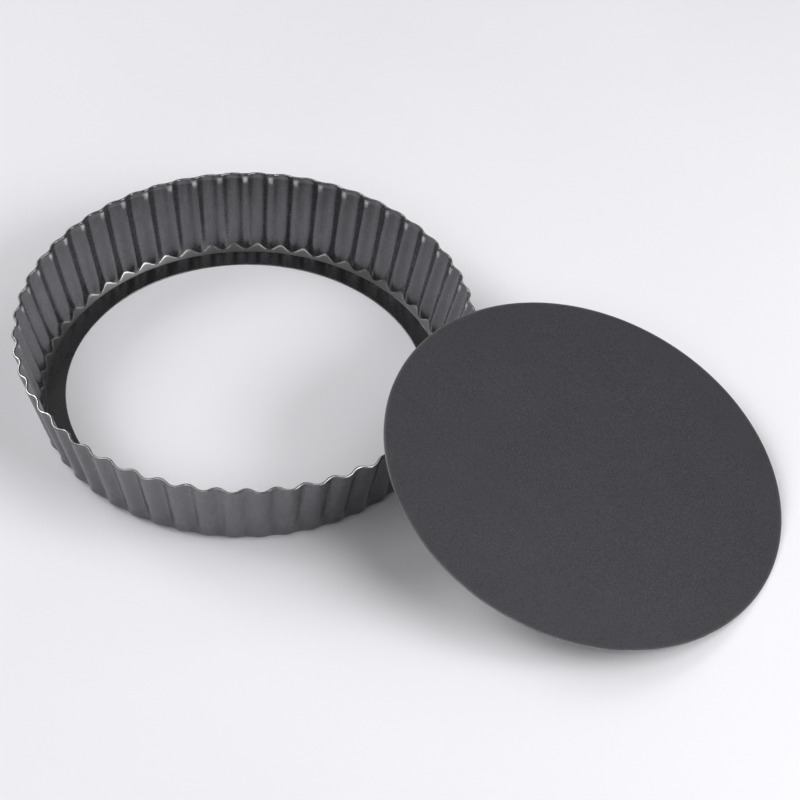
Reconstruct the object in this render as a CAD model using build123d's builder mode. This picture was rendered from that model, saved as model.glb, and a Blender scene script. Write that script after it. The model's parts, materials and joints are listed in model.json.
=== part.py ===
from build123d import *

import os
from math import cos, pi, radians, sin, tan

# A round fluted tart pan with a loose base: a pressed ring with an inward ledge round a push-up hole,
# and a flat disc that leans on the ring's rim with its far edge on the table.
# +Z is up, the table is z = 0, and the origin is the centre of the ring's hole at its underside.
# The disc leans towards +X, where a flute turns inwards.

# Driving dimensions, in millimetres and degrees.
rim_diameter = 250.0  # over opposite flutes at the rim
ring_height = 50.0
wall_lean = 13.8  # of the fluted wall, from vertical
sheet = 0.8  # gauge of both pressings
flute_count = 52
rim_flute_depth = 1.96
foot_flute_depth = 1.6
crest_share = 0.42  # share of a flute's pitch that curves inwards
hole_radius = 99.0
ledge_radius = 109.6  # where the flat ledge turns up into the cove
cove_angle = 50.0  # of the cove band at the wall's foot, from horizontal
bend_radius = 0.6  # inside radius of the bend between ledge and cove
base_radius = 109.3
lean_angle = 15.65  # of the leaning base, from horizontal
contact_gap = 0.1  # left between the leaning base and the rim

# Sizes that follow from them.
rim_radius = (rim_diameter - rim_flute_depth) / 2
foot_radius = rim_radius - ring_height * tan(radians(wall_lean))
wall_inset = sheet / cos(radians(wall_lean))
corner_shift = sheet * tan(radians(cove_angle / 2))


def polar(radius, turn):
    """A point at this radius, this many flute pitches round from +X."""
    angle = 2 * pi * turn / flute_count
    return radius * cos(angle), radius * sin(angle)


def flute_outline(mean_radius, depth):
    """Draws a closed line of arcs that curve in and out by turns and meet smoothly."""
    crest_radius = mean_radius - depth / 2
    lobe_radius = mean_radius + depth / 2
    joint_radius = crest_radius + depth * crest_share
    half_crest = crest_share / 2
    for flute in range(flute_count):
        crest_start = polar(joint_radius, flute - half_crest)
        crest_end = polar(joint_radius, flute + half_crest)
        lobe_end = polar(joint_radius, flute + 1 - half_crest)
        ThreePointArc(crest_start, polar(crest_radius, flute), crest_end)
        ThreePointArc(crest_end, polar(lobe_radius, flute + 0.5), lobe_end)


def fluted_cup(inset, floor, corner_radius, corner_bend):
    """A solid cup whose fluted wall dies into a plain cone that rises from its flat floor.

    inset is how far its wall lies inside the ring's outer skin, and floor is the floor's height."""
    clear_radius = rim_diameter / 2 + sheet
    clear_height = floor + (clear_radius - corner_radius) * tan(radians(cove_angle))
    with BuildPart() as cup:
        with BuildSketch(Plane.XY):
            with BuildLine():
                flute_outline(foot_radius - inset, foot_flute_depth)
            make_face()
        with BuildSketch(Plane.XY.offset(ring_height)):
            with BuildLine():
                flute_outline(rim_radius - inset, rim_flute_depth)
            make_face()
        loft(ruled=True)
        with BuildSketch(Plane.XZ) as profile:
            with BuildLine():
                Polyline(
                    (0, floor),
                    (corner_radius, floor),
                    (clear_radius, clear_height),
                    (clear_radius, ring_height),
                    (0, ring_height),
                    close=True,
                )
            make_face()
            corner = profile.vertices().group_by(Axis.Y)[0].sort_by(Axis.X)[-1]
            fillet(corner, radius=corner_bend)
        revolve(axis=Axis.Z, mode=Mode.INTERSECT)
    return cup.part


# The ring: one pressing, a sheet's gauge thick from the hole's edge to the rim.
outer_skin = fluted_cup(0, 0, ledge_radius + corner_shift, bend_radius + sheet)
dish_space = fluted_cup(wall_inset, sheet, ledge_radius, bend_radius)
with BuildPart() as fluted_ring:
    add(outer_skin)
    add(dish_space, mode=Mode.SUBTRACT)
    with BuildSketch(Plane.XY):
        Circle(hole_radius)
    extrude(amount=ring_height, mode=Mode.SUBTRACT)
fluted_ring.part.label = "fluted_ring"

# The loose base: it touches the table with its underside's far edge, and rests on the two flutes
# of the rim that stand furthest towards +X.
rest_x, rest_y = polar(rim_diameter / 2, 0.5)
base_height = base_radius * sin(radians(lean_angle))
rise_to_rim = ring_height + contact_gap - base_height
base_x = rest_x + rise_to_rim / tan(radians(lean_angle))
underside = Plane(
    origin=(base_x, 0, base_height),
    x_dir=(cos(radians(lean_angle)), 0, -sin(radians(lean_angle))),
    z_dir=(sin(radians(lean_angle)), 0, cos(radians(lean_angle))),
)
with BuildPart() as loose_base:
    with BuildSketch(underside):
        Circle(base_radius)
    extrude(amount=sheet)
loose_base.part.label = "loose_base"

os.makedirs("parts", exist_ok=True)
for piece in (fluted_ring.part, loose_base.part):
    export_step(piece, f"parts/{piece.label}.step")
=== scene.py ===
import json
from math import cos, pi, radians, sin, tan

import bmesh
import bpy
import numpy as np
from mathutils import Matrix, Vector


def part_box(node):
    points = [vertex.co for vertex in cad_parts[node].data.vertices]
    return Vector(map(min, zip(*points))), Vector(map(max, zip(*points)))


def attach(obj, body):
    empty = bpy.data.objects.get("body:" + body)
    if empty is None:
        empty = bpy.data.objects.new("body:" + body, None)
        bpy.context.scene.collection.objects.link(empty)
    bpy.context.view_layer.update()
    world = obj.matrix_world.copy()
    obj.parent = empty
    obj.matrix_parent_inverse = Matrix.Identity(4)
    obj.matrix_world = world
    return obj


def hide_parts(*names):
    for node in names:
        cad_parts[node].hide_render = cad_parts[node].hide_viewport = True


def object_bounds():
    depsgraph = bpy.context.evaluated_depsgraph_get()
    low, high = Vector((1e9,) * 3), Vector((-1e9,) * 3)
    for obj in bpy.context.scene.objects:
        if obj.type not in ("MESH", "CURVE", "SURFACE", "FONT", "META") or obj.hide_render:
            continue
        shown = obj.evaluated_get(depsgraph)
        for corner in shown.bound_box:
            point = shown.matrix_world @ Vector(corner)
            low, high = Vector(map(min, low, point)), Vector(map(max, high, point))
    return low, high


MM = 0.001
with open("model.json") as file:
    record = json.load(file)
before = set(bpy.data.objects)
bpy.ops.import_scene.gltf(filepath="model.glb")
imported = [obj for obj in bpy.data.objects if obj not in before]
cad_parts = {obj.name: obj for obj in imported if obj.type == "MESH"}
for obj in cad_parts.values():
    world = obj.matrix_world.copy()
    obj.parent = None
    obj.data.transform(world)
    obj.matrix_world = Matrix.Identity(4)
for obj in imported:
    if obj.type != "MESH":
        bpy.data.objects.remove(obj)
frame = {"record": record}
cad_low, cad_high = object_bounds()
mounts = {mount["name"]: mount for mount in frame["record"]["mounts"]}
ring_low, ring_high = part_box("fluted_ring")
base_low, base_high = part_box("loose_base")

# The ring's sizes, in metres, from the frame or the pan's design.
SHEET = 0.8 * MM
FLUTES = 52
HOLE_RADIUS = mounts["push_up_hole"]["dims"]["r_mm"] * MM
HEIGHT = ring_high.z
RIM_DEPTH = 0.98 * MM  # half the flutes' depth at the rim
RIM_RADIUS = -ring_low.x / cos(pi / FLUTES) - RIM_DEPTH
WALL_LEAN = tan(radians(13.8))
LEDGE_RADIUS = 109.8 * MM  # where the ledge turns up into the cove
COVE_SLOPE = tan(radians(46))

RANDOM = np.random.default_rng(11)


# ---------------------------------------------------------------- meshes


def grid_piece(name, points, closed_rows, material):
    """A mesh object of quads over a grid of points (rows, columns, 3) whose rows close on themselves.
    With closed_rows, the last row also joins the first."""
    rows, columns = points.shape[:2]
    row_count = rows if closed_rows else rows - 1
    row, column = np.meshgrid(np.arange(row_count), np.arange(columns), indexing="ij")
    next_row = (row + 1) % rows
    next_column = (column + 1) % columns
    faces = np.stack(
        [
            row * columns + column,
            row * columns + next_column,
            next_row * columns + next_column,
            next_row * columns + column,
        ],
        axis=-1,
    ).reshape(-1, 4)
    mesh = bpy.data.meshes.new(name)
    mesh.from_pydata(points.reshape(-1, 3).tolist(), [], faces.tolist())
    mesh.update()
    mesh.shade_smooth()
    mesh.materials.append(material)
    piece = bpy.data.objects.new(name, mesh)
    bpy.context.scene.collection.objects.link(piece)
    return piece


def store(piece, name, values):
    """Keeps one number for each vertex, for the piece's materials to read."""
    attribute = piece.data.attributes.new(name, "FLOAT", "POINT")
    attribute.data.foreach_set("value", values.astype(np.float32).ravel())


def smooth_step(low, high, x):
    share = np.clip((x - low) / (high - low), 0, 1)
    return share * share * (3 - 2 * share)


def rounded(before, corner, after, reach_before, reach_after, count):
    """Points of a smooth bend that replaces the corner between two straight stretches."""
    start = corner + (before - corner) * reach_before[:, None]
    end = corner + (after - corner) * reach_after[:, None]
    share = np.linspace(0, 1, count)[:, None, None]
    return (1 - share) ** 2 * start + 2 * share * (1 - share) * corner + share**2 * end


# ---------------------------------------------------------------- the fluted ring

SAMPLES_PER_FLUTE = 20
CREST_CROWDING = 0.5  # 0 spaces the columns evenly, 1 crowds them most at the crests

# Rows of the mid-surface, from the hole's edge to the rim. The steps are shares of each stretch.
LEDGE_STEPS = (0, 0.03, 0.25, 0.5, 0.75)
BEND_ROWS = 5
COVE_ROWS = 9
COVE_ROWS_CUT = 2  # left out at either end of the cove, for the bend and the crease
CREASE_ROWS = 5
WALL_STEPS = (0.01, 0.06, 0.16, 0.3, 0.45, 0.6, 0.74, 0.83, 0.86, 0.885, 0.91, 0.935, 0.96, 0.98, 0.99, 1)
COVE_START = len(LEDGE_STEPS) + (BEND_ROWS + 1) // 2
CREASE_START = len(LEDGE_STEPS) + BEND_ROWS + COVE_ROWS - 2 * COVE_ROWS_CUT
EDGE_ANGLES = np.linspace(0, pi, 13)[1:-1]  # of the rows round the rim's and the hole's edges

# The wall.
FLUTES_START, FLUTES_FULL = 1 * MM, 10 * MM  # heights between which the flutes grow to their full form
FOOT_DEPTH = 0.8  # the flutes' depth at the foot, as a share of their depth at the rim
FOOT_SHIFT = 0.3 * MM  # how much wider the flutes stand at the foot than the wall's straight line
FLANK_FOOT, FLANK_GAIN = -0.2, 0.25  # how full the flutes' flanks are at the foot, and how much fuller above
CREST_DEPTH = 0.8 * MM  # how much further the crests stand inwards below the rim than a plain wave
CREST_SPREAD = 0.1 * MM  # how much that differs from crest to crest
CREST_NARROWNESS = 2.5
RIM_LEAN = tan(radians(33))  # of the flared rim that the crests run out into
FLARE_SOFTNESS = 0.3 * MM  # of the bend between a crest and the flared rim
LOBE_DROP = 0.97 * MM  # how much lower the rim is at the lobes than at the crests
BEAD = 0.3 * MM  # how much thicker the rim's rounded edge is on either side
BEAD_SHIFT = 0.6  # how far the bead stands inwards, as a share of its extra thickness
BEAD_CLEARANCE = 1.35 * BEAD  # keeps the leaning bead's top below the CAD ring's

# The cove, its crease, and the bend between it and the ledge.
LEAST_RISE = 0.6 * MM  # of the cove, from the ledge to the crease
COVE_SAG = 0.01  # as a share of the cove's length
BEND_REACH = 0.5 * MM  # how far the bend runs into the ledge
CREASE_REACH = 0.3 * MM  # how far the crease's rounding runs up the wall
WALL_CLEARANCE = 0.7 * MM  # from the crease's corner up to the wall's first row
LOBE_BULGE = 0.5 * MM  # how far the lobes stand out below the crease, on the outside
BULGE_HEIGHT = 6.5 * MM


def column_phases():
    """The phase of every column, 0 at an inward crest and pi at an outward lobe. They crowd at the crests."""
    step = (np.arange(SAMPLES_PER_FLUTE) + 0.5) / SAMPLES_PER_FLUTE * 2 * pi - pi
    one_flute = step - CREST_CROWDING * np.sin(step)
    return np.concatenate([one_flute + 2 * pi * flute for flute in range(FLUTES)])


def smooth_max(a, b, softness):
    return (a + b + np.sqrt((a - b) ** 2 + softness**2)) / 2


def wall_radius(height, phase, crest_depth):
    """Mid-sheet radius of the fluted wall. Crests are narrow ridges that run out into a flared rim."""
    rim_mean = RIM_RADIUS - SHEET / 2
    mean = rim_mean - (HEIGHT - height) * WALL_LEAN
    standing = smooth_step(FLUTES_START, FLUTES_FULL, height)
    wave = -np.cos(phase) + (FLANK_GAIN * standing + FLANK_FOOT) * np.sin(phase) ** 2
    crest = ((1 + np.cos(phase)) / 2) ** CREST_NARROWNESS
    depth = RIM_DEPTH * (FOOT_DEPTH + (1 - FOOT_DEPTH) * standing)
    ridged = mean + FOOT_SHIFT * (1 - standing) + depth * wave - crest_depth * crest * standing
    flared = rim_mean - RIM_DEPTH * np.cos(phase) - (HEIGHT - height) * RIM_LEAN - FLARE_SOFTNESS / 4
    return smooth_max(ridged, flared, FLARE_SOFTNESS)


def cove_foot(phase, crest_depth):
    """Where the cove meets the wall, as radius and height for every column."""
    height = np.full(len(phase), 3 * MM)
    for _ in range(20):
        run = wall_radius(height, phase, crest_depth) - LEDGE_RADIUS
        rise = np.maximum(run * COVE_SLOPE, LEAST_RISE)
        height = 0.5 * (height + SHEET / 2 + rise)
    return np.stack([wall_radius(height, phase, crest_depth), height], -1)


def ring_middle():
    """The ring's mid-sheet surface, from the hole's edge over the ledge and cove and up to the rim, and how
    strong the painted highlight on its coat is."""
    phase = column_phases()
    turn = phase / FLUTES
    columns = len(phase)
    crest_depth = np.repeat(CREST_DEPTH + RANDOM.normal(0, CREST_SPREAD, FLUTES), SAMPLES_PER_FLUTE)

    def level(radius):
        return np.stack([np.full(columns, radius), np.full(columns, SHEET / 2)], -1)

    def reach(length, start, end):
        return length / np.linalg.norm(end - start, axis=-1)

    hole = level(HOLE_RADIUS + SHEET / 2)
    corner = level(LEDGE_RADIUS)
    foot = cove_foot(phase, crest_depth)
    above_height = foot[:, 1] + 5 * MM
    above = np.stack([wall_radius(above_height, phase, crest_depth), above_height], -1)

    # The cove sags outwards and downwards from the straight line between its ends.
    chord = foot - corner
    outwards = np.stack([chord[:, 1], -chord[:, 0]], -1)
    hollow = (corner + foot) / 2 + 2 * COVE_SAG * outwards
    share = np.linspace(0, 1, COVE_ROWS)[:, None, None]
    cove = (1 - share) ** 2 * corner + 2 * share * (1 - share) * hollow + share**2 * foot

    ledge = [hole + (corner - hole) * share for share in LEDGE_STEPS]
    into_ledge = reach(BEND_REACH, corner, hole)
    bend = rounded(hole, cove[0], cove[1], into_ledge, np.full(columns, 0.9), BEND_ROWS)
    up_wall = reach(CREASE_REACH, foot, above)
    crease = rounded(cove[-2], foot, above, np.full(columns, 0.6), up_wall, CREASE_ROWS)
    rim_height = HEIGHT - SHEET / 2 - BEAD_CLEARANCE - LOBE_DROP * (1 - np.cos(phase)) / 2
    wall_start = foot[:, 1] + WALL_CLEARANCE
    wall = []
    for share in WALL_STEPS:
        height = wall_start + (rim_height - wall_start) * share
        wall.append(np.stack([wall_radius(height, phase, crest_depth), height], -1))
    profile = np.concatenate([ledge, bend, cove[COVE_ROWS_CUT:-COVE_ROWS_CUT], crease, wall])

    radius, height = profile[..., 0], profile[..., 1]
    # Painted highlight along the crease and high up on the crests.
    painted_highlight = painted_highlight_rows(phase, rim_height - height)
    return np.stack([radius * np.cos(turn), radius * np.sin(turn), height], -1), painted_highlight


def painted_highlight_rows(phase, below_rim):
    """How strong the painted highlight is: along the crease, most on its slanting stretches, and high up on
    the crests."""
    across_crease = np.array([0.3, 0.8, 1, 0.8, 0.3])[:, None]
    painted_highlight = np.zeros(below_rim.shape)
    painted_highlight[CREASE_START : CREASE_START + CREASE_ROWS] = across_crease * (0.6 + 0.4 * np.sin(phase) ** 2)
    crest_top_highlight = smooth_step(0.75, 1, np.cos(phase)) * smooth_step(6 * MM, 3 * MM, below_rim)
    painted_highlight += 0.8 * crest_top_highlight * smooth_step(0.8 * MM, 1.8 * MM, below_rim)
    return painted_highlight


def unit(vectors):
    return vectors / np.linalg.norm(vectors, axis=-1, keepdims=True)


def rounded_edge(middle, half, normal, outwards):
    """Rows of a half round edge, from the normal's side of the sheet round to its other side."""
    return [middle + half * (cos(angle) * normal + sin(angle) * outwards) for angle in EDGE_ANGLES]


def fluted_ring(material):
    """The pressed ring: its mid-sheet surface, thickened to the sheet's gauge with rounded edges."""
    middle, painted_highlight = ring_middle()
    along = unit(np.gradient(middle, axis=0))
    around = unit(np.roll(middle, -1, axis=1) - np.roll(middle, 1, axis=1))
    normal = unit(np.cross(along, around))
    below_rim = middle[-1, :, 2] - middle[..., 2]
    # The rim's edge is a little thicker, as a bead.
    bead = smooth_step(1.5 * MM, 0.3 * MM, below_rim)[..., None]
    half = SHEET / 2 + BEAD * bead
    middle = middle + normal * (BEAD_SHIFT * BEAD * bead)
    inside = middle + normal * half
    # Below the crease, the lobes stand out a little further on the outside.
    lobe = (1 - np.cos(column_phases())) / 2
    share = np.clip((middle[..., 2] - SHEET / 2) / BULGE_HEIGHT, 0, 1)
    bulge = LOBE_BULGE * 4 * share * (1 - share) * lobe
    outside = middle - normal * (half + bulge[..., None])
    rim = rounded_edge(middle[-1], half[-1], normal[-1], along[-1])
    hole = rounded_edge(middle[0], half[0], -normal[0], -along[0])
    points = np.concatenate([inside, rim, outside[::-1], hole])
    piece = grid_piece("ring_shell", points, True, material)
    piece.data.flip_normals()  # the rows run so that the faces first look inwards
    store_wear_and_painted_light(piece, points, painted_highlight)
    return piece


def store_wear_and_painted_light(piece, points, painted_highlight):
    """Tells the ring's coat where its worn edges and bead, its painted shade on the ledge and cove, its cove,
    and its painted highlight are.
    """
    rim_start = len(painted_highlight)
    skin = points.shape[:2]
    top = points[..., 2].max(axis=0)
    store(piece, "edge", smooth_step(1.3 * MM, 0.2 * MM, top - points[..., 2]))
    crown = np.zeros(skin)
    crown[rim_start : rim_start + len(EDGE_ANGLES)] = np.sin(EDGE_ANGLES)[:, None] ** 6
    store(piece, "crown", crown)
    # On the inside, the ledge's colour is darkened as painted shade, and so is the cove's, less so upwards.
    painted_shade = np.zeros(skin)
    painted_shade[:COVE_START] = 1
    painted_shade[COVE_START:CREASE_START] = np.linspace(1.5, 0.9, CREASE_START - COVE_START)[:, None]
    store(piece, "painted_shade", painted_shade)
    # The cove's coat has the roughest grain.
    cove = np.zeros(skin)
    cove[COVE_START:CREASE_START] = 1
    store(piece, "cove", cove)
    # Painted highlight, on the inside only.
    painted_highlight_skin = np.zeros(skin)
    painted_highlight_skin[:rim_start] = painted_highlight
    store(piece, "painted_highlight", painted_highlight_skin)


# ---------------------------------------------------------------- the loose base


DISC_SEGMENTS = 240
DISC_STEPS = (0.02, 0.1, 0.25, 0.4, 0.55, 0.7, 0.8, 0.88, 0.94, 0.97, 0.985)  # shares of the radius
DISC_ROUNDING = 0.22 * MM  # of the cut edge


def base_disc(material):
    """The flat base: concentric rings of quads with a rounded cut edge, set in the leaning disc's place."""
    centre = (base_low + base_high) / 2
    lean = np.arctan2(base_high.z - base_low.z, base_high.x - base_low.x)
    radius = (base_high.y - base_low.y) / 2
    # The box's diagonal is a little steeper than the disc, by its gauge.
    for _ in range(8):
        lean = np.arcsin((base_high.z - base_low.z - SHEET * cos(lean)) / (2 * radius))
    turn = np.arange(DISC_SEGMENTS) / DISC_SEGMENTS * 2 * pi
    half = SHEET / 2
    top = [(share * radius, half) for share in DISC_STEPS]
    top.append((radius - 1.6 * DISC_ROUNDING, half))
    corner_radius, corner_height = radius - DISC_ROUNDING, half - DISC_ROUNDING
    top += [
        (corner_radius + DISC_ROUNDING * cos(angle), corner_height + DISC_ROUNDING * sin(angle))
        for angle in np.linspace(pi / 2, 0, 5)
    ]
    bottom = [(r, -z) for r, z in reversed(top)]
    profile = np.array(top + bottom)
    flat = np.stack(
        [
            profile[:, 0, None] * np.cos(turn),
            profile[:, 0, None] * np.sin(turn),
            np.repeat(profile[:, 1, None], DISC_SEGMENTS, axis=1),
        ],
        -1,
    )
    tilt = np.array(Matrix.Rotation(lean, 3, "Y"))
    points = flat @ tilt.T + np.array(centre)
    piece = grid_piece("base_disc", points, False, material)
    cap_centre(piece)
    edge = smooth_step(radius - 0.5 * MM, radius - 0.02 * MM, profile[:, 0])
    store(piece, "edge", np.repeat(edge, DISC_SEGMENTS))
    return piece


def cap_centre(piece):
    """Closes the small rings at the middle of both faces."""
    shell = bmesh.new()
    shell.from_mesh(piece.data)
    shell.verts.ensure_lookup_table()
    shell.faces.new(shell.verts[:DISC_SEGMENTS])
    shell.faces.new(reversed(shell.verts[-DISC_SEGMENTS:]))
    bmesh.ops.recalc_face_normals(shell, faces=shell.faces)
    for face in shell.faces:
        face.smooth = True
    shell.to_mesh(piece.data)
    shell.free()


# ---------------------------------------------------------------- materials


class Coat:
    """A node material, with short ways to add nodes and join them."""

    def __init__(self, name):
        self.material = bpy.data.materials.new(name)
        self.material.use_nodes = True
        self.nodes = self.material.node_tree.nodes
        self.links = self.material.node_tree.links
        self.shader = self.nodes["Principled BSDF"]
        self.place = self.nodes.new("ShaderNodeTexCoord").outputs["Object"]

    def add(self, kind, inputs=None, **settings):
        node = self.nodes.new(kind)
        for name, value in settings.items():
            setattr(node, name, value)
        for name, value in (inputs or {}).items():
            if isinstance(value, bpy.types.NodeSocket):
                self.links.new(value, node.inputs[name])
            else:
                node.inputs[name].default_value = value
        return node

    def noise(self, size, detail=2.0, roughness=0.5, stretch=(1, 1, 1), turn=0.0):
        """Noise whose features are about this many metres across, from 0 to 1."""
        mapping = self.add(
            "ShaderNodeMapping",
            {"Vector": self.place, "Scale": stretch, "Rotation": (0, 0, turn)},
        )
        noise = self.add(
            "ShaderNodeTexNoise",
            {"Vector": mapping.outputs[0], "Scale": 1 / size, "Detail": detail, "Roughness": roughness},
        )
        return noise.outputs["Fac"]

    def spread(self, value, low, high, to_low=0.0, to_high=1.0):
        """Maps a value from one range to another, and holds it there."""
        node = self.add(
            "ShaderNodeMapRange",
            {"Value": value, "From Min": low, "From Max": high, "To Min": to_low, "To Max": to_high},
        )
        return node.outputs["Result"]

    def math(self, operation, a, b):
        return self.add("ShaderNodeMath", {0: a, 1: b}, operation=operation).outputs[0]

    def attribute(self, name):
        return self.add("ShaderNodeAttribute", attribute_name=name).outputs["Fac"]

    def mix(self, share, a, b):
        """A colour between a and b."""
        node = self.add("ShaderNodeMix", data_type="RGBA")
        for name, value in (("Factor_Float", share), ("A_Color", a), ("B_Color", b)):
            socket = next(s for s in node.inputs if s.identifier == name)
            if isinstance(value, bpy.types.NodeSocket):
                self.links.new(value, socket)
            else:
                socket.default_value = value
        return next(s for s in node.outputs if s.identifier == "Result_Color")

    def bump(self, height, distance, strength=1.0, normal=None):
        inputs = {"Height": height, "Distance": distance, "Strength": strength}
        if normal is not None:
            inputs["Normal"] = normal
        return self.add("ShaderNodeBump", inputs).outputs["Normal"]

    def connect(self, **sockets):
        for name, value in sockets.items():
            self.links.new(value, self.shader.inputs[name.replace("_", " ")])


def grey(value, warmth=0.0):
    return (value * (1 + warmth), value, value * (1 - warmth), 1)


def ring_coat():
    """Satin dark grey non-stick coat with a fine grain and faint streaks. Its colour is darkened on the ledge
    and cove as painted shade (the cove is also rougher), lightened along the crease and high on the crests as
    painted highlight, and worn to the metal on the rim."""
    coat = Coat("ring_coat")
    grain = coat.noise(0.5 * MM, detail=3)
    cloud = coat.noise(14 * MM, detail=4, roughness=0.6)
    streak = coat.noise(2.2 * MM, detail=2, stretch=(1, 1, 0.12))
    tone = coat.math("ADD", coat.spread(cloud, 0.3, 0.7, -0.5, 0.5), coat.spread(streak, 0.3, 0.7, -0.5, 0.5))
    tone = coat.math("ADD", tone, coat.spread(grain, 0.3, 0.7, -0.6, 0.6))
    dark = (0.130, 0.128, 0.136, 1)
    light = (0.176, 0.174, 0.183, 1)
    colour = coat.mix(coat.spread(tone, -1.2, 1.2), dark, light)
    wear_and_highlight_noise = coat.noise(5 * MM, detail=5, roughness=0.7)
    worn_edge = coat.math("MULTIPLY", coat.attribute("edge"), coat.spread(wear_and_highlight_noise, 0.58, 0.72, 0.0, 0.5))
    bare_crown = coat.math("MULTIPLY", coat.attribute("crown"), coat.spread(wear_and_highlight_noise, 0.35, 0.6, 0.35, 0.9))
    wear = coat.math("MAXIMUM", worn_edge, bare_crown)
    # Painted highlight: the crease and the crest tops turn a light, less metallic colour, with patchy
    # strength.
    painted_highlight = coat.math("MULTIPLY", coat.attribute("painted_highlight"), coat.spread(wear_and_highlight_noise, 0.35, 0.6, 0.35, 1.0))
    steel = (0.62, 0.61, 0.60, 1)
    bronze = (0.60, 0.47, 0.38, 1)
    painted_highlight_colour = (0.68, 0.67, 0.66, 1)
    metal = coat.mix(coat.spread(wear_and_highlight_noise, 0.6, 0.66), steel, bronze)
    # Painted shade: the ledge and cove are darkened towards a dark grey, most at the ledge.
    colour = coat.mix(coat.math("MULTIPLY", coat.attribute("painted_shade"), 0.6), colour, grey(0.06))
    colour = coat.mix(painted_highlight, colour, painted_highlight_colour)
    colour = coat.mix(wear, colour, metal)
    roughness = coat.spread(coat.math("ADD", cloud, grain), 0.7, 1.3, 0.22, 0.31)
    roughness = coat.math("MAXIMUM", roughness, coat.spread(coat.attribute("cove"), 0, 1, 0.2, 0.46))
    fine = coat.bump(grain, 0.02 * MM, 0.4)
    broad = coat.bump(cloud, 0.2 * MM, 0.4, fine)
    metallic = coat.spread(painted_highlight, 0, 1, 0.9, 0.2)
    coat.connect(Base_Color=colour, Roughness=roughness, Metallic=metallic, Normal=broad)
    return coat.material


def base_coat():
    """Matt dark grey non-stick coat with a pebbled grain, light specks and hair scratches."""
    coat = Coat("base_coat")
    grain = coat.noise(0.8 * MM, detail=3, roughness=0.7)
    cloud = coat.noise(30 * MM, detail=4, roughness=0.6)
    tone = coat.math("ADD", coat.spread(grain, 0.35, 0.65, 0, 0.9), coat.spread(cloud, 0.3, 0.7, 0, 0.1))
    colour = coat.mix(tone, (0.006, 0.006, 0.008, 1), (0.040, 0.038, 0.048, 1))
    specks = coat.add(
        "ShaderNodeTexVoronoi", {"Vector": coat.place, "Scale": 1 / (2.6 * MM), "Randomness": 1.0}
    )
    fleck = coat.spread(specks.outputs["Distance"], 0.1, 0.05, 0, 1)
    chosen = coat.add("ShaderNodeSeparateColor", {"Color": specks.outputs["Color"]}).outputs[0]
    fleck = coat.math("MULTIPLY", fleck, coat.spread(chosen, 0.86, 0.9))
    colour = coat.mix(coat.math("MULTIPLY", fleck, 0.35), colour, grey(0.22, -0.03))
    scratch = coat.noise(0.5 * MM, detail=1, stretch=(0.02, 1, 1), turn=0.9)
    patch = coat.noise(40 * MM, detail=2)
    scratched = coat.math("MULTIPLY", coat.spread(scratch, 0.76, 0.8), coat.spread(patch, 0.55, 0.65))
    colour = coat.mix(coat.math("MULTIPLY", scratched, 0.3), colour, grey(0.16))
    edge = coat.math("MULTIPLY", coat.attribute("edge"), coat.spread(cloud, 0.35, 0.65, 0.35, 0.85))
    colour = coat.mix(edge, colour, (0.30, 0.29, 0.29, 1))
    roughness = coat.spread(grain, 0.35, 0.65, 0.42, 0.54)
    metallic = coat.math("MULTIPLY", edge, 0.7)
    normal = coat.bump(grain, 0.1 * MM, 0.8)
    coat.connect(Base_Color=colour, Roughness=roughness, Metallic=metallic, Normal=normal)
    coat.shader.inputs["Specular IOR Level"].default_value = 0.65
    return coat.material


def floor_material():
    coat = Coat("studio_floor")
    cloud = coat.noise(300 * MM, detail=2)
    colour = coat.mix(coat.spread(cloud, 0.3, 0.7), (0.80, 0.795, 0.825, 1), (0.83, 0.825, 0.855, 1))
    coat.connect(Base_Color=colour)
    coat.shader.inputs["Roughness"].default_value = 0.55
    coat.shader.inputs["Specular IOR Level"].default_value = 0.3
    return coat.material


# ---------------------------------------------------------------- studio


def floor():
    size = 6.0
    corners = [(-size, -size, 0), (size, -size, 0), (size, size, 0), (-size, size, 0)]
    mesh = bpy.data.meshes.new("floor")
    mesh.from_pydata(corners, [], [(0, 1, 2, 3)])
    mesh.materials.append(floor_material())
    piece = bpy.data.objects.new("floor", mesh)
    bpy.context.scene.collection.objects.link(piece)


def softbox(name, place, target, size, power):
    data = bpy.data.lights.new(name, "AREA")
    data.shape = "RECTANGLE"
    data.size, data.size_y = size
    data.energy = power
    lamp = bpy.data.objects.new(name, data)
    bpy.context.scene.collection.objects.link(lamp)
    lamp.location = place
    lamp.rotation_euler = (Vector(target) - Vector(place)).to_track_quat("-Z", "Y").to_euler()


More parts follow.
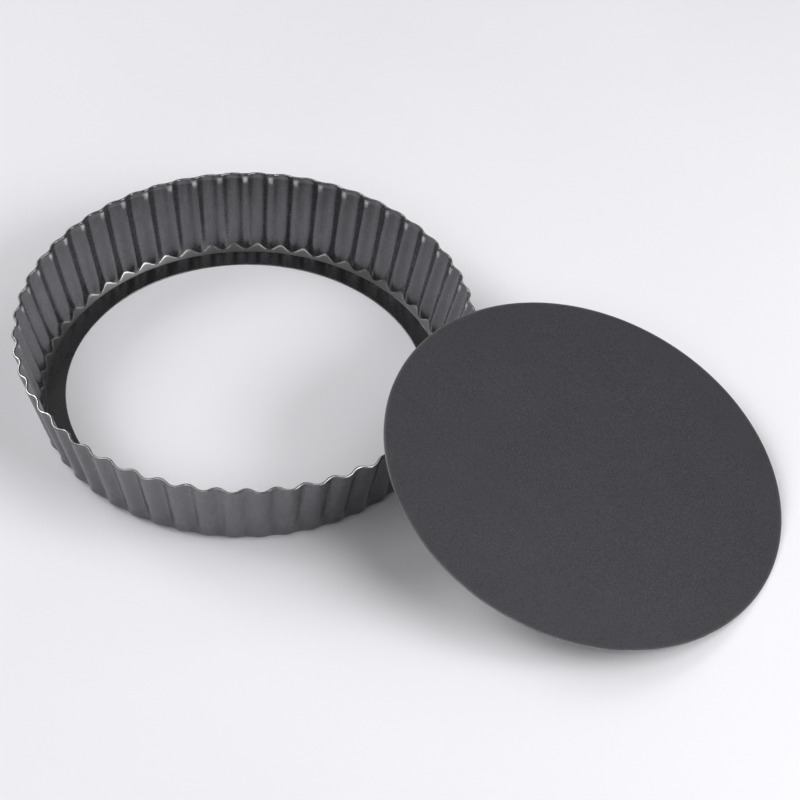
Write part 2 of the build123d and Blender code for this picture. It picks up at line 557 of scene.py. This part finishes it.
def camera():
    """A long lens from above, at the height and side that shows the leaning base on the right."""
    data = bpy.data.cameras.new("camera")
    data.lens = 104.73
    data.sensor_width = 36.0
    data.clip_start = 0.05
    viewer = bpy.data.objects.new("camera", data)
    bpy.context.scene.collection.objects.link(viewer)
    heading, dip, roll = radians(22.747), radians(-45.503), radians(2.953)
    turn = (
        Matrix.Rotation(heading, 4, "Z")
        @ Matrix.Rotation(pi / 2 + dip, 4, "X")
        @ Matrix.Rotation(roll, 4, "Z")
    )
    place = (0.4271, -0.7993, 0.9134)
    viewer.matrix_world = Matrix.Translation(place) @ turn
    bpy.context.scene.camera = viewer


def lighting():
    """Large softboxes at both sides, with weaker ones in front, above and behind: name, azimuth and elevation
    in degrees, distance and size in metres, power in watts. They stand round a point between ring and base,
    and face the middle of the CAD box."""
    middle = (cad_low + cad_high) / 2
    between = Vector((0.1, 0, 0))
    for name, azimuth, elevation, distance, size, power in (
        ("right_near", 0, 30, 1.3, (1.1, 0.8), 6.6),
        ("right_far", 0, 35, 3.4, (2.2, 1.2), 47),
        ("left_near", 155, 30, 1.3, (1.1, 0.8), 1.5),
        ("left_far", 180, 35, 3.4, (2.2, 1.2), 50),
        ("front_high", -90, 42, 3.4, (2.0, 1.2), 20),
        ("front_left_high", -135, 55, 3.4, (2.0, 1.4), 21),
        ("top_right", 30, 67, 1.02, (0.7, 0.6), 2.0),
        ("back", 90, 35, 3.4, (2.2, 1.2), 6),
        ("front_low", -75, 9, 3.4, (2.6, 0.4), 8),
    ):
        around, up = radians(azimuth), radians(elevation)
        direction = Vector((cos(up) * cos(around), cos(up) * sin(around), sin(up)))
        softbox(name, between + direction * distance, middle, size, power)
    world = bpy.data.worlds.new("studio")
    world.use_nodes = True
    background = world.node_tree.nodes["Background"]
    background.inputs["Color"].default_value = (0.95, 0.95, 1.0, 1)
    background.inputs["Strength"].default_value = 0.01
    bpy.context.scene.world = world
    bpy.context.scene.view_settings.view_transform = "Standard"


# ---------------------------------------------------------------- the scene

ring = fluted_ring(ring_coat())
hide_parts("fluted_ring")
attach(ring, "ring")

disc = base_disc(base_coat())
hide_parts("loose_base")
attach(disc, "base")

floor()
camera()
lighting()
